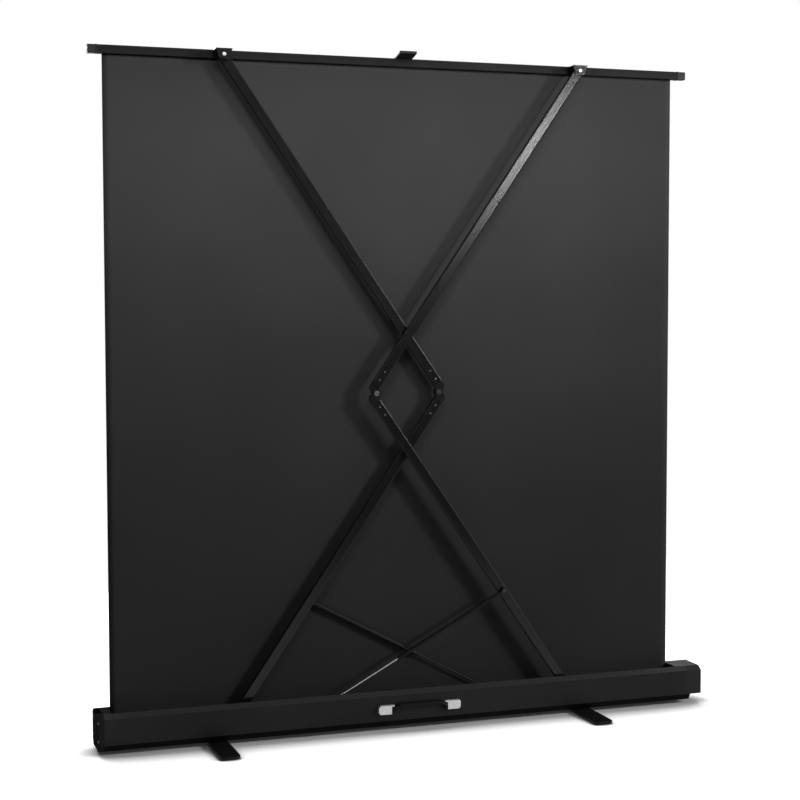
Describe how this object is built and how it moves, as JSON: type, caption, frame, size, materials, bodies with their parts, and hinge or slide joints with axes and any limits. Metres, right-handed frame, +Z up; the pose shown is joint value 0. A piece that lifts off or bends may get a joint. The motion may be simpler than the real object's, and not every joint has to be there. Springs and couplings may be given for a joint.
{
  "type": "portable projection screen",
  "caption": "Floor-standing pull-up projection screen: a long case with swivel feet, crossing folding legs with gas springs, a top bar and a tensioned fabric.",
  "frame": {"origin": "on the floor, at the middle of the case's length and of the feet's reach", "axes": "+Z up; the back of the screen, with the legs and the handle, faces -Y; +X is to the right seen from behind"},
  "size_m": [1.932, 0.42, 2.036],
  "materials": {
    "case_paint": "satin black",
    "dark_sheet": "matt black",
    "cap_plastic": "fine grained black",
    "bar_paint": "satin black",
    "arm_paint": "black anodised",
    "elbow_metal": "black",
    "screw_steel": "blackened",
    "pin_steel": "bright",
    "disc_steel": "dull",
    "roller_aluminium": "mill finish",
    "roller_plastic": "plain",
    "screen_cloth": "black back, matt white front",
    "cylinder_paint": "satin black",
    "rod_chrome": "polished",
    "foot_paint": "satin black",
    "black_rubber": "matt",
    "washer_plastic": "plain",
    "bail_paint": "satin black",
    "handle_silver": "silver satin"
  },
  "bodies": {
    "case": {"case_rear_shell": "case_paint", "case_front_shell": "case_paint", "base_plate": "dark_sheet", "base_rails": "dark_sheet", "left_end_cap": "cap_plastic", "right_end_cap": "cap_plastic", "end_cap_screws": "screw_steel", "base_brackets": "dark_sheet", "base_pivot_pins": "pin_steel", "spring_anchors": "dark_sheet", "roller_brackets": "dark_sheet", "roller_spring_shaft": "pin_steel", "roller_spring": "pin_steel", "screen_fabric": "screen_cloth", "handle_mounts": "handle_silver", "handle_pins": "screw_steel", "foot_bolts": "screw_steel", "foot_washers": "washer_plastic"},
    "roller": {"roller_tube": "roller_aluminium", "roller_plug_left": "roller_plastic", "roller_plug_right": "roller_plastic", "fabric_wrap": "screen_cloth"},
    "left_lower": {"left_lower_arm": "arm_paint", "right_elbow_fork": "elbow_metal", "right_elbow_pin": "disc_steel", "left_lower_rivets": "disc_steel", "left_spring_stud": "screw_steel"},
    "left_upper": {"left_upper_arm": "arm_paint", "right_elbow_tongue": "elbow_metal", "left_upper_rivets": "disc_steel"},
    "right_lower": {"right_lower_arm": "arm_paint", "left_elbow_fork": "elbow_metal", "left_elbow_pin": "disc_steel", "right_lower_rivets": "disc_steel", "right_spring_stud": "screw_steel"},
    "right_upper": {"right_upper_arm_top": "arm_paint", "right_upper_arm_foot": "arm_paint", "arm_splice_bar": "arm_paint", "arm_splice_screws": "screw_steel", "left_elbow_tongue": "elbow_metal", "right_upper_rivets": "disc_steel"},
    "bar": {"top_bar": "bar_paint", "bar_plugs": "cap_plastic", "top_brackets": "arm_paint", "top_pivots": "pin_steel", "top_pivot_spacers": "pin_steel", "pull_tab": "cap_plastic", "pull_tab_screws": "screw_steel"},
    "left_spring_cylinder": {"left_gas_cylinder": "cylinder_paint"},
    "left_spring_rod": {"left_gas_rod": "rod_chrome"},
    "right_spring_cylinder": {"right_gas_cylinder": "cylinder_paint"},
    "right_spring_rod": {"right_gas_rod": "rod_chrome"},
    "left_foot_swivel": {"left_foot": "foot_paint", "left_foot_pads": "black_rubber"},
    "right_foot_swivel": {"right_foot": "foot_paint", "right_foot_pads": "black_rubber"},
    "handle": {"handle_bail": "bail_paint", "handle_grip": "black_rubber"}
  },
  "joints": [
    {"name": "raise", "type": "hinge", "parent": "case", "child": "left_lower", "pos_m": [-0.58, -0.0045, 0.036], "axis": [0, 1, 0], "range_deg": [0, 53.79], "deforming": ["screen_fabric"]},
    {"name": "left_elbow_fold", "type": "hinge", "parent": "left_lower", "child": "left_upper", "pos_m": [0.08177, -0.0045, 1.019], "axis": [0, 1, 0], "range_deg": [-107.6, 0]},
    {"name": "right_leg_fold", "type": "hinge", "parent": "case", "child": "right_lower", "pos_m": [0.54, -0.02, 0.036], "axis": [0, 1, 0], "range_deg": [-53.8, 0]},
    {"name": "right_elbow_fold", "type": "hinge", "parent": "right_lower", "child": "right_upper", "pos_m": [-0.12177, -0.02, 1.019], "axis": [0, 1, 0], "range_deg": [0, 107.6]},
    {"name": "bar_pivot", "type": "hinge", "parent": "left_upper", "child": "bar", "pos_m": [-0.58, -0.0045, 2.002], "axis": [0, 1, 0], "range_deg": [0, 53.8]},
    {"name": "left_spring_pivot", "type": "hinge", "parent": "left_lower", "child": "left_spring_cylinder", "pos_m": [-0.32753, 0.0097, 0.40123], "axis": [0, 1, 0], "range_deg": [-80.51, 0]},
    {"name": "left_spring_stroke", "type": "slide", "parent": "left_spring_cylinder", "child": "left_spring_rod", "axis": [-0.88, 0, 0.4749], "range_m": [0, 0.2841]},
    {"name": "right_spring_pivot", "type": "hinge", "parent": "right_lower", "child": "right_spring_cylinder", "pos_m": [0.28753, -0.0342, 0.40123], "axis": [0, 1, 0], "range_deg": [0, 80.51]},
    {"name": "right_spring_stroke", "type": "slide", "parent": "right_spring_cylinder", "child": "right_spring_rod", "axis": [0.88, 0, 0.4749], "range_m": [0, 0.2841]},
    {"name": "roller_turn", "type": "hinge", "parent": "case", "child": "roller", "pos_m": [-0.022, 0.037, 0.042], "axis": [1, 0, 0], "range_deg": [0, 5057.75]},
    {"name": "left_foot_turn", "type": "hinge", "parent": "case", "child": "left_foot_swivel", "pos_m": [-0.618, 0, 0.007], "axis": [0, 0, 1], "range_deg": [0, 90]},
    {"name": "right_foot_turn", "type": "hinge", "parent": "case", "child": "right_foot_swivel", "pos_m": [0.55, 0, 0.007], "axis": [0, 0, 1], "range_deg": [0, 90]},
    {"name": "handle_swing", "type": "hinge", "parent": "case", "child": "handle", "pos_m": [0, -0.0685, 0.061], "axis": [1, 0, 0], "range_deg": [0, 90], "stiffness_Nm_per_rad": 0.12, "springref_deg": -34.38}
  ],
  "couplings": [
    {"joint": "left_elbow_fold", "follows": "raise", "ratio": -2},
    {"joint": "right_leg_fold", "follows": "raise", "ratio": -1},
    {"joint": "right_elbow_fold", "follows": "raise", "ratio": 2},
    {"joint": "bar_pivot", "follows": "raise", "ratio": 1},
    {"joint": "left_spring_pivot", "follows": "raise", "ratio": -1.4965},
    {"joint": "left_spring_stroke", "follows": "raise", "m_per_rad": 0.30243},
    {"joint": "right_spring_pivot", "follows": "raise", "ratio": 1.4965},
    {"joint": "right_spring_stroke", "follows": "raise", "m_per_rad": 0.30243},
    {"joint": "roller_turn", "follows": "raise", "ratio": 94.018}
  ]
}
